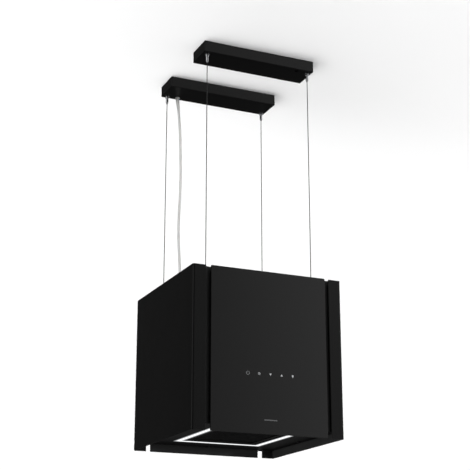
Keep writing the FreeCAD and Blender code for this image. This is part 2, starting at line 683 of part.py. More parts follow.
spider = ring_x(-56, -53.2, FAN_Y, FAN_Z, 54.5, 57.9)
spider = spider.fuse(ring_x(-57.5, -50.5, FAN_Y, FAN_Z, 42.5, 45.5))
for k in range(3):
    arm = box(-56, -53.2, -4, 4, 44, 56)
    arm.rotate(V(0, 0, 0), V(1, 0, 0), 120 * k + 60)
    arm.translate(V(0, FAN_Y, FAN_Z))
    spider = spider.fuse(arm)
nodes["motor_bracket"] = spider.removeSplitter()
pads = []
for k in range(3):
    pad = ring_x(-51.5, -44.0, FAN_Y, FAN_Z, 40.0, 42.5)
    keep = box(-60, -40, -9, 9, 30, 60)
    keep.rotate(V(0, 0, 0), V(1, 0, 0), 120 * k)
    keep.translate(V(0, FAN_Y, FAN_Z))
    pads.append(pad.common(keep).fuse(ring_x(-51.5, -50.5, FAN_Y, FAN_Z, 40.0, 42.5).common(keep)).removeSplitter())
nodes["motor_rubber_mounts"] = group(pads)

# Fan wheel
wheel = ring_x(-48, -46.4, FAN_Y, FAN_Z, 50.0, FAN_R).fuse(ring_x(46.4, 48, FAN_Y, FAN_Z, 50.0, FAN_R))
wheel = wheel.fuse(ring_x(0.5, 2.5, FAN_Y, FAN_Z, 4.0, 66.5))
wheel = wheel.fuse(ring_x(2.5, 21, FAN_Y, FAN_Z, 4.0, 10.0))
BLADES = 30
for k in range(BLADES):
    blade = box(-47, 47, -0.6, 0.6, 0, 16.5)
    blade.rotate(V(0, 0, 0), V(1, 0, 0), 32)
    blade.translate(V(0, 3.6, 51.5))
    blade.rotate(V(0, 0, 0), V(1, 0, 0), 360.0 * k / BLADES)
    blade.translate(V(0, FAN_Y, FAN_Z))
    wheel = wheel.fuse(blade)
nodes["impeller"] = wheel.removeSplitter()

# Round carbon filter cassette with three bayonet tabs
def carbon(s):
    x0, x1 = s * 64.0, s * 92.0
    c = cylx(x0, x1, FAN_Y, FAN_Z, 82.0)
    c = c.makeFillet(2.0, [e for e in c.Edges if len(e.Vertexes) == 1])
    for xa, xb in ((s * 63, s * 66.5), (s * 89.5, s * 93)):
        c = c.cut(ring_x(xa, xb, FAN_Y, FAN_Z, 13.0, 56.0 if abs(xa) < 64 else 76.0))
    for k in range(8):
        spoke = box(s * 66.0, s * 90.5, -1.6, 1.6, 10, 77)
        spoke.rotate(V(0, 0, 0), V(1, 0, 0), 45 * k + 22.5)
        spoke.translate(V(0, FAN_Y, FAN_Z))
        c = c.fuse(spoke)
    c = c.fuse(ring_x(s * 56.2, s * 64.5, FAN_Y, FAN_Z, 67.3, 70.0))
    for a in (90, 210, 330):
        tab = ring_x(s * 56.2, s * 58.6, FAN_Y, FAN_Z, 62.5, 68.0)
        wedge = box(s * 56, s * 59, -16, 16, 50, 75)
        wedge.rotate(V(0, 0, 0), V(1, 0, 0), a - 90)
        wedge.translate(V(0, FAN_Y, FAN_Z))
        c = c.fuse(tab.common(wedge))
    return c.removeSplitter()


nodes["carbon_filter_left"] = carbon(-1)
nodes["carbon_filter_right"] = carbon(1)

# ---------------------------------------------------------------- electrics on the rear wall
yw = HOUSING_Y - HOUSING_T
cb = box(10, 120, 148, yw, -740, -650)
cb = cb.makeFillet(3.0, edges_at(cb, lambda p: abs(p.y - 148) < 1e-6))
cb = cb.cut(box(12, 118, 150, yw + 1, -738, -652))
for x in (25, 105):
    cb = cb.fuse(box(x - 6, x + 6, yw - 2, yw, -650, -640))
    cb = cb.fuse(box(x - 6, x + 6, yw - 2, yw, -750, -740))
cb = cb.removeSplitter()
nodes["control_box"] = cb
cap = cyl(-60, yw - 16.5, -860, -802, 15.0)
cap = cap.makeFillet(1.5, [e for e in cap.Edges if len(e.Vertexes) == 1])
cap = cap.fuse(ring_z(-60, yw - 16.5, -838, -826, 14.5, 16.5)).fuse(box(-66, -54, yw - 2.5, yw, -838, -826)).removeSplitter()
nodes["motor_capacitor"] = cap

loom = [
    cord_tube(
        "supply lead",
        [
            (GLAND_X, GLAND_Y, -604.0),
            (GLAND_X, GLAND_Y, -640.0),
            (-84.0, 142.0, -684.0),
            (-45.0, 158.0, -706.0),
            (10.0, 164.0, -706.0),
        ],
        CABLE_D,
    ),
    cord_tube(
        "motor lead",
        [(40.0, 148.0, -715.0), (40.0, 112.0, -715.0), (40.0, 80.0, -738.0), (40.0, STUB_Y1, -738.0)],
        4.6,
    ),
    cord_tube(
        "light lead",
        [(100.0, 166.0, -740.0), (100.0, 166.0, -795.0), (100.0, 158.0, -850.0), (100.0, 122.0, -896.0), (100.0, 105.0, UNDER_Z + 14)],
        4.0,
    ),
]
nodes["wiring_loom"] = group(loom)

# ---------------------------------------------------------------- rope grippers and gland on the top plate
GZ = PLATE_TOP


def gripper_body(x, y):
    g = turned(
        x,
        y,
        [
            (0.0, GZ - 17.0),
            (4.4, GZ - 17.0),
            (5.0, GZ - 16.4),
            (5.0, GZ),
            (8.0, GZ),
            (8.0, GZ + 2.6),
            (7.4, GZ + 3.2),
            (6.0, GZ + 3.2),
            (6.0, GZ + 7.0),
            (5.2, GZ + 7.8),
            (0.0, GZ + 7.8),
        ],
    )
    g = g.cut(cyl(x, y, GZ - 18, GZ + 9, ROPE_BORE))
    g = g.cut(cyl(x, y, GZ - 13.0, GZ + 9, 3.05))
    return g


def plunger(x, y):
    p = turned(
        x,
        y,
        [
            (ROPE_BORE, GZ - 3.5),
            (3.0, GZ - 3.5),
            (3.0, GZ + 10.8),
            (4.0, GZ + 10.8),
            (4.3, GZ + 11.1),
            (4.3, GZ + 12.4),
            (3.7, GZ + 13.0),
            (ROPE_BORE, GZ + 13.0),
        ],
    )
    return p


nodes["gripper_bodies"] = group([gripper_body(x, y) for x, y in corners.values()])
nodes["gripper_springs"] = group([ring_z(x, y, GZ - 13.0, GZ - 3.5, 1.9, 2.9) for x, y in corners.values()])
for k, (x, y) in corners.items():
    nodes["gripper_plunger_" + k] = plunger(x, y)

gland = turned(
    GLAND_X,
    GLAND_Y,
    [
        (CABLE_D / 2 + 0.35, GZ - 15.0),
        (8.0, GZ - 15.0),
        (8.0, GZ),
        (11.0, GZ),
        (11.0, GZ + 4.5),
        (9.5, GZ + 5.5),
        (9.5, GZ + 11.0),
        (6.2, GZ + 15.0),
        (4.7, GZ + 34.0),
        (CABLE_D / 2 + 0.35, GZ + 34.0),
    ],
)
nodes["cable_gland"] = gland

# ---------------------------------------------------------------- export
total = 0
for name, shape in nodes.items():
    ok = shape.isValid()
    n = len(shape.Solids)
    if isinstance(shape, Part.Compound) or shape.ShapeType == "Compound":
        out = Part.makeCompound(shape.Solids) if n > 1 else shape.Solids[0]
    else:
        out = shape if shape.ShapeType == "Solid" else shape.Solids[0]
        n = len(shape.Solids)
    bb = out.BoundBox
    print(
        f"{name:28s} {'ok' if ok else 'BAD'} solids {n} vol {out.Volume:10.0f} "
        f"x {bb.XMin:7.1f} {bb.XMax:7.1f} y {bb.YMin:7.1f} {bb.YMax:7.1f} z {bb.ZMin:7.1f} {bb.ZMax:7.1f}"
    )
    out.exportStep("parts/" + name + ".step")
    total += 1
print(total, "nodes")
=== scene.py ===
import json
import math

import bmesh
import bpy
import numpy as np
from mathutils import Matrix, Vector


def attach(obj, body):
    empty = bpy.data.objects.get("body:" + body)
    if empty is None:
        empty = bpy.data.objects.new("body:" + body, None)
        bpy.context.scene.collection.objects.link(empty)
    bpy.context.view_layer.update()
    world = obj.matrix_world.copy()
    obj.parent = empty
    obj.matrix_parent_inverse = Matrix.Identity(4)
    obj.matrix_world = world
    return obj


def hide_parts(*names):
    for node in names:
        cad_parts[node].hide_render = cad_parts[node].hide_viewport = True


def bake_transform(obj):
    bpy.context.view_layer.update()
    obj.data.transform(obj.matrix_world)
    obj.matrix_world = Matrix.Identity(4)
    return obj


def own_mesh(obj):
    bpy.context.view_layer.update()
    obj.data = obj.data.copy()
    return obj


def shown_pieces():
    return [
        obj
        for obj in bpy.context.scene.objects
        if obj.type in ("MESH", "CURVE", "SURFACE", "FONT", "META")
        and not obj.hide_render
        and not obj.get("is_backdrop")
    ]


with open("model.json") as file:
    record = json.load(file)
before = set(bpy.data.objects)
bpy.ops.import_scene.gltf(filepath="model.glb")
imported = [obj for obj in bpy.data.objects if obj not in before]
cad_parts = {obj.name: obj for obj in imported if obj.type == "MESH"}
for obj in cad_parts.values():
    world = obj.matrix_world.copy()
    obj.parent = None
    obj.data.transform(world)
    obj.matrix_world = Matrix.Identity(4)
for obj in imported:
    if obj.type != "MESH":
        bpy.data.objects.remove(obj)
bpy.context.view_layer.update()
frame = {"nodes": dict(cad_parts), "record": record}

MM = 0.001
nodes = frame["nodes"]
scene = bpy.context.scene

# ================================================================ camera
yaw, pitch = math.radians(24.0), math.radians(17.713)
cam_data = bpy.data.cameras.new("camera")
cam = bpy.data.objects.new("camera", cam_data)
scene.collection.objects.link(cam)
cam_data.lens = 93.326
cam_data.sensor_width = 36.0
cam_data.clip_start, cam_data.clip_end = 0.05, 60.0
cam.location = (-1.18525, -2.65848, -1.36918)
look = Vector((math.sin(yaw) * math.cos(pitch), math.cos(yaw) * math.cos(pitch), math.sin(pitch)))
cam.rotation_euler = look.to_track_quat("-Z", "Y").to_euler()
scene.camera = cam
scene.view_settings.view_transform = "Standard"
scene.view_settings.look = "None"


# ================================================================ small helpers
def link(obj):
    scene.collection.objects.link(obj)
    return obj


def mesh_object(name, verts, faces, smooth=False):
    me = bpy.data.meshes.new(name)
    me.from_pydata([tuple(v) for v in verts], [], [tuple(f) for f in faces])
    me.update()
    if smooth:
        me.polygons.foreach_set("use_smooth", [True] * len(me.polygons))
    return link(bpy.data.objects.new(name, me))


def from_bmesh(name, bm, smooth=False):
    bmesh.ops.recalc_face_normals(bm, faces=bm.faces)
    me = bpy.data.meshes.new(name)
    bm.to_mesh(me)
    bm.free()
    if smooth:
        me.polygons.foreach_set("use_smooth", [True] * len(me.polygons))
    return link(bpy.data.objects.new(name, me))


def sharpen(obj, degrees=35.0):
    """Smooth shading with edges kept sharp above the angle."""
    me = obj.data
    me.polygons.foreach_set("use_smooth", [True] * len(me.polygons))
    me.set_sharp_from_angle(angle=math.radians(degrees))
    return obj


def join_parts(name, parts):
    """One mesh from lists of (verts, faces)."""
    verts, faces = [], []
    for v, f in parts:
        base = len(verts)
        verts.extend([tuple(p) for p in v])
        faces.extend([tuple(i + base for i in q) for q in f])
    return mesh_object(name, verts, faces)


def revolve(profile, segments, origin=(0, 0, 0), closed=True):
    """verts, faces of a profile of (r, z) points turned about the vertical. closed joins its last point to its first."""
    verts, faces = [], []
    n = len(profile)
    for k in range(segments):
        a = 2 * math.pi * k / segments
        c, s = math.cos(a), math.sin(a)
        for r, z in profile:
            verts.append((origin[0] + r * c, origin[1] + r * s, origin[2] + z))
    last = n if closed else n - 1
    for k in range(segments):
        k2 = (k + 1) % segments
        for i in range(last):
            j = (i + 1) % n
            faces.append((k * n + i, k2 * n + i, k2 * n + j, k * n + j))
    return verts, faces


def prism(outline, y0, y1, bevel=0.0):
    """verts, faces of a flat outline of (x, z) points, given counter-clockwise seen from -Y, between y0 (front) and y1 (back). bevel eases the front edge."""
    n = len(outline)
    cx = sum(p[0] for p in outline) / n
    cz = sum(p[1] for p in outline) / n
    verts, faces = [], []
    rings = [(0.0, y1), (0.0, y0 + bevel)] + ([(bevel, y0)] if bevel else [])
    for inset, y in rings:
        for x, z in outline:
            d = math.hypot(x - cx, z - cz) or 1.0
            k = max(0.0, 1 - inset / d)
            verts.append((cx + (x - cx) * k, y, cz + (z - cz) * k))
    for q in range(len(rings) - 1):
        for i in range(n):
            j = (i + 1) % n
            faces.append((q * n + i, q * n + j, (q + 1) * n + j, (q + 1) * n + i))
    faces.append(tuple(range(n - 1, -1, -1)))
    top = (len(rings) - 1) * n
    faces.append(tuple(range(top, top + n)))
    return verts, faces


def band(path_points, width, y0, y1, closed=False):
    """A flat line of the given width that follows (x, z) points."""
    p = [Vector((a, b)) for a, b in path_points]
    n = len(p)
    left, right = [], []
    for i in range(n):
        a = p[i - 1] if (i or closed) else p[i]
        b = p[(i + 1) % n] if (i < n - 1 or closed) else p[i]
        t = (b - a).normalized()
        nrm = Vector((-t.y, t.x)) * width / 2
        left.append(p[i] + nrm)
        right.append(p[i] - nrm)
    verts = []
    for y in (y0, y1):
        verts += [(q.x, y, q.y) for q in left] + [(q.x, y, q.y) for q in right]
    faces = []
    m = n if closed else n - 1
    for i in range(m):
        j = (i + 1) % n
        faces.append((i, j, n + j, n + i))
        faces.append((2 * n + i, 3 * n + i, 3 * n + j, 2 * n + j))
        faces.append((i, 2 * n + i, 2 * n + j, j))
        faces.append((n + i, n + j, 3 * n + j, 3 * n + i))
    if not closed:
        faces.append((0, n, 3 * n, 2 * n))
        faces.append((n - 1, 3 * n - 1, 4 * n - 1, 2 * n - 1))
    return verts, faces


# ================================================================ the cords
def spline_points(name, route, resolution):
    """Points of a smooth curve through the route, as Blender draws it."""
    cu = bpy.data.curves.new(name, "CURVE")
    cu.dimensions = "3D"
    cu.resolution_u = resolution
    sp = cu.splines.new("NURBS")
    sp.points.add(len(route) - 1)
    for p, q in zip(sp.points, route):
        p.co = (q[0], q[1], q[2], 1.0)
    sp.order_u = 3
    sp.use_endpoint_u = True
    ob = link(bpy.data.objects.new(name, cu))
    bpy.context.view_layer.update()
    me = bpy.data.meshes.new_from_object(ob)
    pts = [v.co.copy() for v in me.vertices]
    bpy.data.meshes.remove(me)
    bpy.data.objects.remove(ob)
    bpy.data.curves.remove(cu)
    return pts


def spaced(points, step):
    """The same line with even spacing."""
    p = np.array([tuple(q) for q in points])
    d = np.r_[0, np.cumsum(np.linalg.norm(np.diff(p, axis=0), axis=1))]
    n = max(2, int(round(d[-1] / step)) + 1)
    t = np.linspace(0, d[-1], n)
    return [Vector(tuple(np.interp(x, d, p[:, k]) for k in range(3))) for x in t]


def frames(points):
    """A frame at each point that doesn't twist along the line."""
    tangents = []
    for i in range(len(points)):
        a, b = points[max(i - 1, 0)], points[min(i + 1, len(points) - 1)]
        tangents.append((b - a).normalized())
    u = Vector((1, 0, 0))
    u = (u - tangents[0] * u.dot(tangents[0])).normalized()
    out = []
    for t in tangents:
        u = (u - t * u.dot(t)).normalized()
        out.append((u.copy(), t.cross(u).normalized()))
    return out


def tube(name, points, outline):
    """A closed tube; outline(i, k) gives the offset across and up of point k of ring i."""
    fr = frames(points)
    verts, faces = [], []
    n = None
    for i, (p, (u, w)) in enumerate(zip(points, fr)):
        ring = outline(i)
        n = len(ring)
        for a, b in ring:
            verts.append(p + u * a + w * b)
    for i in range(len(points) - 1):
        for k in range(n):
            k2 = (k + 1) % n
            faces.append((i * n + k, i * n + k2, (i + 1) * n + k2, (i + 1) * n + k))
    faces.append(tuple(range(n - 1, -1, -1)))
    last = (len(points) - 1) * n
    faces.append(tuple(range(last, last + n)))
    ob = mesh_object(name, verts, faces)
    return sharpen(ob, 60)


CABLE_D = 6.6 * MM
CABLE_ROUTE = [
    (-108.00, 139.00, -15.5),
    (-108.00, 139.00, -34.0),
    (-105.13, 136.85, -66.0),
    (-101.75, 133.37, -120.0),
    (-99.82, 130.33, -200.0),
    (-99.10, 130.22, -290.0),
    (-101.68, 133.78, -370.0),
    (-100.43, 135.85, -430.0),
    (-96.49, 134.86, -490.0),
    (-95.94, 133.63, -545.0),
    (-95.94, 133.63, -603.0),
]
cable_route = [tuple(c * MM for c in q) for q in CABLE_ROUTE]
cable_line = spaced(spline_points("cable_route", cable_route, 40), 2.4 * MM)


def round_outline(radius, sides):
    ring = [(radius * math.cos(2 * math.pi * k / sides), radius * math.sin(2 * math.pi * k / sides)) for k in range(sides)]
    return lambda i: ring


power_cable = tube("power_cable_sheath", cable_line, round_outline(CABLE_D / 2, 28))
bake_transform(power_cable)
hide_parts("power_cable")

ROPE_TOP, ROPE_LOW = -9.5 * MM, -744.0 * MM
LAY = 11.5 * MM  # one turn of the strands
corners = {
    "front_left": (-0.138, -0.138),
    "front_right": (0.138, -0.138),
    "rear_left": (-0.138, 0.138),
    "rear_right": (0.138, 0.138),
}


def strand_outline(i, step):
    """Six strands round a core, turned with the lay."""
    r_s, r_h = 0.37 * MM, 0.73 * MM
    turn = 2 * math.pi * (i * step) / LAY
    ring = []
    for k in range(6):
        a0 = turn + k * math.pi / 3
        cx, cy = r_h * math.cos(a0), r_h * math.sin(a0)
        for b in (-1.72, -0.86, 0.0, 0.86):
            ring.append((cx + r_s * math.cos(a0 + b), cy + r_s * math.sin(a0 + b)))
    return ring


ropes = {}
for key, (x, y) in corners.items():
    route = [(x, y, ROPE_TOP), (x, y, -0.20), (x, y, -0.45), (x, y, ROPE_LOW)]
    line = spaced(spline_points("rope_route", route, 24), 1.45 * MM)
    step = (line[1] - line[0]).length
    rope = tube("rope_" + key + "_strands", line, lambda i, s=step: strand_outline(i, s))
    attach(rope, "ceiling_mount")
    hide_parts("rope_" + key)
    ropes[key] = rope


# ================================================================ materials
class Mat:
    """A small wrapper that keeps node trees short to write."""

    def __init__(self, name, color=(0.5, 0.5, 0.5), rough=0.5, metallic=0.0, spec=0.5, **sockets):
        self.mat = bpy.data.materials.new(name)
        self.mat.use_nodes = True
        self.nt = self.mat.node_tree
        self.nt.nodes.clear()
        self.out = self.nt.nodes.new("ShaderNodeOutputMaterial")
        self.b = self.nt.nodes.new("ShaderNodeBsdfPrincipled")
        self.nt.links.new(self.b.outputs["BSDF"], self.out.inputs["Surface"])
        self.b.inputs["Base Color"].default_value = (*color, 1.0)
        self.b.inputs["Roughness"].default_value = rough
        self.b.inputs["Metallic"].default_value = metallic
        self.b.inputs["Specular IOR Level"].default_value = spec
        for k, v in sockets.items():
            self.b.inputs[k.replace("_", " ")].default_value = v
        self.coord = self.nt.nodes.new("ShaderNodeTexCoord").outputs["Object"]
        self.normal = None

    def node(self, kind, **props):
        n = self.nt.nodes.new(kind)
        for k, v in props.items():
            setattr(n, k, v)
        return n

    def wire(self, a, b):
        self.nt.links.new(a, b)

    def scaled(self, scale):
        m = self.node("ShaderNodeMapping")
        m.inputs["Scale"].default_value = scale
        self.wire(self.coord, m.inputs["Vector"])
        return m.outputs["Vector"]

    def noise(self, scale, detail=2.0, rough=0.5, stretch=None, lac=2.0):
        n = self.node("ShaderNodeTexNoise")
        n.inputs["Scale"].default_value = scale
        n.inputs["Detail"].default_value = detail
        n.inputs["Roughness"].default_value = rough
        n.inputs["Lacunarity"].default_value = lac
        self.wire(self.scaled(stretch) if stretch else self.coord, n.inputs["Vector"])
        return n.outputs["Fac"]

    def voronoi(self, scale, feature="F1", stretch=None, out="Distance", randomness=1.0):
        n = self.node("ShaderNodeTexVoronoi", feature=feature)
        n.inputs["Scale"].default_value = scale
        n.inputs["Randomness"].default_value = randomness
        self.wire(self.scaled(stretch) if stretch else self.coord, n.inputs["Vector"])
        return n.outputs[out]

    def wave(self, scale, direction="X", distortion=0.0, stretch=None, detail=0.0):
        n = self.node("ShaderNodeTexWave", wave_type="BANDS", bands_direction=direction)
        n.inputs["Scale"].default_value = scale
        n.inputs["Distortion"].default_value = distortion
        n.inputs["Detail"].default_value = detail
        self.wire(self.scaled(stretch) if stretch else self.coord, n.inputs["Vector"])
        return n.outputs["Fac"]

    def span(self, value, a, b, lo=0.3, hi=0.7):
        """value between lo and hi becomes a to b."""
        n = self.node("ShaderNodeMapRange")
        n.inputs["From Min"].default_value = lo
        n.inputs["From Max"].default_value = hi
        n.inputs["To Min"].default_value = a
        n.inputs["To Max"].default_value = b
        self.wire(value, n.inputs["Value"])
        return n.outputs["Result"]

    def math(self, op, a, b):
        n = self.node("ShaderNodeMath", operation=op)
        for i, v in enumerate((a, b)):
            if isinstance(v, (int, float)):
                n.inputs[i].default_value = v
            else:
                self.wire(v, n.inputs[i])
        return n.outputs[0]

    def ramp(self, value, stops):
        n = self.node("ShaderNodeValToRGB")
        r = n.color_ramp
        while len(r.elements) < len(stops):
            r.elements.new(0.5)
        for e, (pos, col) in zip(r.elements, stops):
            e.position = pos
            e.color = (*col, 1.0)
        self.wire(value, n.inputs["Fac"])
        return n.outputs["Color"]

    def color(self, value, stops):
        self.wire(self.ramp(value, stops), self.b.inputs["Base Color"])
        return self

    def rough(self, value, a, b, lo=0.3, hi=0.7):
        self.wire(self.span(value, a, b, lo, hi), self.b.inputs["Roughness"])
        return self

    def bump(self, value, strength, distance):
        n = self.node("ShaderNodeBump")
        n.inputs["Strength"].default_value = strength
        n.inputs["Distance"].default_value = distance
        self.wire(value, n.inputs["Height"])
        if self.normal is not None:
            self.wire(self.normal, n.inputs["Normal"])
        self.normal = n.outputs["Normal"]
        self.wire(self.normal, self.b.inputs["Normal"])
        return self


def grey(v, warm=0.0):
    return (v * (1 + warm), v, v * (1 - warm))


def powder(name, base, rough, spec, inward_painted_light_tone=None):
    """Satin powder coat: fine orange peel, faint cloudiness in tone and gloss. The optional inward tone is painted
    light: faces that look towards the middle get a lighter tone that stands in for light falling on the inner skirts.
    """
    m = Mat(name, rough=rough, spec=spec)
    tone = m.ramp(m.noise(7.0, 3.0, 0.55), [(0.30, grey(base * 0.88)), (0.70, grey(base * 1.14))])
    # painted light: faces whose normal points towards the middle in plan take the lighter inward tone
    if inward_painted_light_tone:
        geo = m.node("ShaderNodeNewGeometry")
        flat = m.node("ShaderNodeVectorMath", operation="MULTIPLY")
        m.wire(m.coord, flat.inputs[0])
        flat.inputs[1].default_value = (1.0, 1.0, 0.0)
        unit = m.node("ShaderNodeVectorMath", operation="NORMALIZE")
        m.wire(flat.outputs[0], unit.inputs[0])
        dot = m.node("ShaderNodeVectorMath", operation="DOT_PRODUCT")
        m.wire(unit.outputs[0], dot.inputs[0])
        m.wire(geo.outputs["Normal"], dot.inputs[1])
        mix = m.node("ShaderNodeMix", data_type="RGBA")
        m.wire(m.span(dot.outputs["Value"], 1.0, 0.0, -0.35, -0.25), mix.inputs["Factor"])
        m.wire(tone, mix.inputs[6])
        m.wire(m.ramp(m.noise(11.0, 3.0, 0.55), [(0.30, grey(inward_painted_light_tone * 0.85)), (0.70, grey(inward_painted_light_tone * 1.18))]), mix.inputs[7])
        tone = mix.outputs[2]
    m.wire(tone, m.b.inputs["Base Color"])
    cloud = m.noise(18.0, 3.0, 0.55)
    m.rough(cloud, rough - 0.015, rough + 0.02)
    m.bump(m.noise(700.0, 2.0, 0.5), 0.14, 0.00008)
    m.bump(m.noise(2600.0, 1.0, 0.5), 0.10, 0.00003)
    return m.mat


# the last value is the lighter tone painted on inward-facing faces, as painted light
black_steel = powder("powder_coat_black", 0.0024, 0.36, 0.155, 0.0270)
cover_black = powder("powder_coat_cover", 0.0042, 0.36, 0.155)
inner_black = powder("powder_coat_inside", 0.0120, 0.46, 0.18)

# Back-painted panel: very flat, faint wiped streaks in the gloss
g = Mat("black_panel_glass", rough=0.24, spec=0.30)
g.color(g.noise(3.0, 2.0), [(0.3, grey(0.0030)), (0.7, grey(0.0038))])
smudge = g.noise(7.0, 5.0, 0.62, stretch=(1.0, 1.0, 0.35))
g.rough(smudge, 0.195, 0.220)
g.bump(g.noise(1500.0, 1.0), 0.05, 0.00002)
black_glass = g.mat

g = Mat("chrome_plate", rough=0.10, metallic=1.0)
g.color(g.noise(40.0, 3.0), [(0.3, (0.34, 0.345, 0.355)), (0.7, (0.44, 0.445, 0.455))])
g.rough(g.noise(160.0, 4.0, 0.6), 0.07, 0.19)
g.bump(g.noise(2400.0, 2.0, stretch=(1, 1, 0.15)), 0.05, 0.00002)
chrome = g.mat

g = Mat("rope_steel", rough=0.38, metallic=1.0)
g.color(g.noise(300.0, 3.0), [(0.3, (0.030, 0.030, 0.031)), (0.7, (0.060, 0.060, 0.061))])
g.rough(g.noise(900.0, 2.0), 0.30, 0.46)
g.bump(g.wave(5200.0, "DIAGONAL", 1.0), 0.25, 0.00004)
rope_steel = g.mat

g = Mat("zinc_plated_sheet", rough=0.4, metallic=1.0)
cell = g.voronoi(95.0, out="Color")
g.color(cell, [(0.0, (0.47, 0.48, 0.495)), (1.0, (0.56, 0.57, 0.585))])
g.rough(g.voronoi(95.0, out="Distance"), 0.36, 0.46, 0.0, 0.9)
g.bump(g.noise(700.0, 3.0), 0.10, 0.00004)
zinc = g.mat

g = Mat("black_zinc_screw", rough=0.36, metallic=0.85)
g.color(g.noise(420.0, 3.0), [(0.3, (0.016, 0.016, 0.018)), (0.7, (0.040, 0.040, 0.042))])
g.rough(g.noise(900.0, 2.0), 0.28, 0.48)
g.bump(g.noise(1800.0, 2.0), 0.15, 0.00003)
screw_black = g.mat

g = Mat("machined_steel", rough=0.3, metallic=1.0)
g.color(g.noise(60.0, 3.0, stretch=(8, 1, 1)), [(0.3, (0.38, 0.385, 0.39)), (0.7, (0.55, 0.555, 0.56))])
g.rough(g.noise(200.0, 4.0, stretch=(0.2, 3, 3)), 0.22, 0.40)
g.bump(g.noise(1600.0, 2.0, stretch=(0.1, 1, 1)), 0.12, 0.00003)
steel = g.mat

# PVC sheath: slight mottling, faint extrusion lines and a satin skin
g = Mat("pvc_light_grey", rough=0.46, spec=0.45)
g.color(g.noise(55.0, 4.0, 0.6), [(0.3, (0.60, 0.60, 0.587)), (0.7, (0.67, 0.67, 0.656))])
g.rough(g.noise(180.0, 3.0), 0.38, 0.54)
g.bump(g.noise(2600.0, 1.0, stretch=(1, 1, 0.03)), 0.20, 0.00005)
g.bump(g.noise(420.0, 2.0), 0.10, 0.00008)
g.b.inputs["Subsurface Weight"].default_value = 0.04
g.b.inputs["Subsurface Scale"].default_value = 0.001
cable_grey = g.mat

g = Mat("white_polyamide", rough=0.45, spec=0.5)
g.color(g.noise(90.0, 3.0), [(0.3, (0.72, 0.72, 0.69)), (0.7, (0.80, 0.80, 0.775))])
g.rough(g.noise(240.0, 3.0), 0.38, 0.54)
g.bump(g.noise(900.0, 2.0), 0.12, 0.00005)
white_plastic = g.mat


def moulded(name, base, rough, grain=1500.0):
    """Spark-eroded moulding texture on black plastic."""
    m = Mat(name, rough=rough, spec=0.42)
    m.color(m.noise(30.0, 3.0), [(0.3, grey(base * 0.8)), (0.7, grey(base * 1.25))])
    m.rough(m.noise(300.0, 2.0), rough - 0.05, rough + 0.07)
    m.bump(m.voronoi(grain, out="Distance"), 0.25, 0.00005)
    m.bump(m.noise(grain * 0.35, 2.0), 0.12, 0.00006)
    return m.mat


black_plastic = moulded("moulded_black_abs", 0.013, 0.46)
black_polyamide = moulded("black_polyamide", 0.018, 0.38, 2200.0)
fan_plastic = moulded("fan_polypropylene", 0.020, 0.40, 1100.0)

# Opal ring: lit evenly, a little brighter over each LED
g = Mat("opal_acrylic_lit", color=(0.10, 0.102, 0.104), rough=0.35)
axes = g.node("ShaderNodeSeparateXYZ")
g.wire(g.coord, axes.inputs[0])
off = g.math("MAXIMUM", g.math("ABSOLUTE", axes.outputs["X"], 0), g.math("ABSOLUTE", axes.outputs["Y"], 0))
off = g.math("ABSOLUTE", g.math("SUBTRACT", off, 0.105), 0)
spots = g.math("MULTIPLY", g.voronoi(62.0, out="Distance", randomness=0.15), 0.0016)
glow = g.span(g.math("ADD", off, spots), 0.0, 1.0, 0.0, 0.011)
g.wire(
    g.ramp(glow, [(0.0, (1.0, 1.0, 0.99)), (0.30, (0.62, 0.63, 0.635)), (0.60, (0.26, 0.265, 0.27)), (1.0, (0.100, 0.103, 0.106))]),
    g.b.inputs["Emission Color"],
)
g.b.inputs["Emission Strength"].default_value = 1.9
g.bump(g.noise(1300.0, 2.0), 0.10, 0.00004)
opal = g.mat

g = Mat("white_key_light", color=(0.15, 0.153, 0.156), rough=0.4)
g.wire(g.ramp(g.noise(900.0, 1.0), [(0.3, (0.90, 0.94, 1.0)), (0.7, (1.0, 1.0, 1.0))]), g.b.inputs["Emission Color"])
g.b.inputs["Emission Strength"].default_value = 0.36
key_light = g.mat

g = Mat("white_key_light_dim", color=(0.12, 0.123, 0.126), rough=0.4)
g.wire(g.ramp(g.noise(900.0, 1.0), [(0.3, (0.90, 0.94, 1.0)), (0.7, (1.0, 1.0, 1.0))]), g.b.inputs["Emission Color"])
g.b.inputs["Emission Strength"].default_value = 0.16
key_light_dim = g.mat

g = Mat("silver_print", rough=0.36, metallic=0.9)
g.color(g.noise(700.0, 3.0, stretch=(0.1, 1, 3)), [(0.3, (0.13, 0.131, 0.136)), (0.7, (0.20, 0.202, 0.208))])
g.rough(g.noise(900.0, 3.0, stretch=(0.1, 1, 3)), 0.28, 0.44)
g.bump(g.noise(2400.0, 2.0, stretch=(0.05, 1, 1)), 0.12, 0.00002)
silver = g.mat

# Filter: black anodised aluminium with a thin film of use
g = Mat("anodised_aluminium_black", rough=0.42, metallic=0.35, spec=0.25)
g.color(g.noise(70.0, 4.0, 0.6), [(0.3, (0.006, 0.006, 0.0064)), (0.7, (0.012, 0.012, 0.0126))])
g.rough(g.noise(130.0, 4.0, 0.6), 0.30, 0.52)
g.bump(g.noise(2200.0, 2.0), 0.15, 0.00004)
filter_black = g.mat

# Circuit board: solder mask with etched tracks showing under it
g = Mat("solder_mask", rough=0.32, spec=0.5)
track = g.voronoi(260.0, feature="DISTANCE_TO_EDGE", stretch=(1, 1, 1), randomness=0.35)
g.color(track, [(0.0, (0.030, 0.150, 0.060)), (0.06, (0.030, 0.150, 0.060)), (0.10, (0.006, 0.050, 0.022)), (1.0, (0.008, 0.060, 0.026))])
g.rough(g.noise(300.0, 2.0), 0.24, 0.40)
g.bump(track, 0.3, 0.00005)
board = g.mat

# White solder mask of the light boards with the LED packages as pale squares
g = Mat("led_board", rough=0.4)
led = g.voronoi(62.0, out="Distance", randomness=0.15)
g.color(led, [(0.0, (0.85, 0.70, 0.20)), (0.10, (0.85, 0.70, 0.20)), (0.13, (0.70, 0.71, 0.70)), (1.0, (0.62, 0.63, 0.62))])
g.rough(g.noise(200.0, 2.0), 0.30, 0.48)
g.bump(led, 0.3, 0.0002)
led_board = g.mat

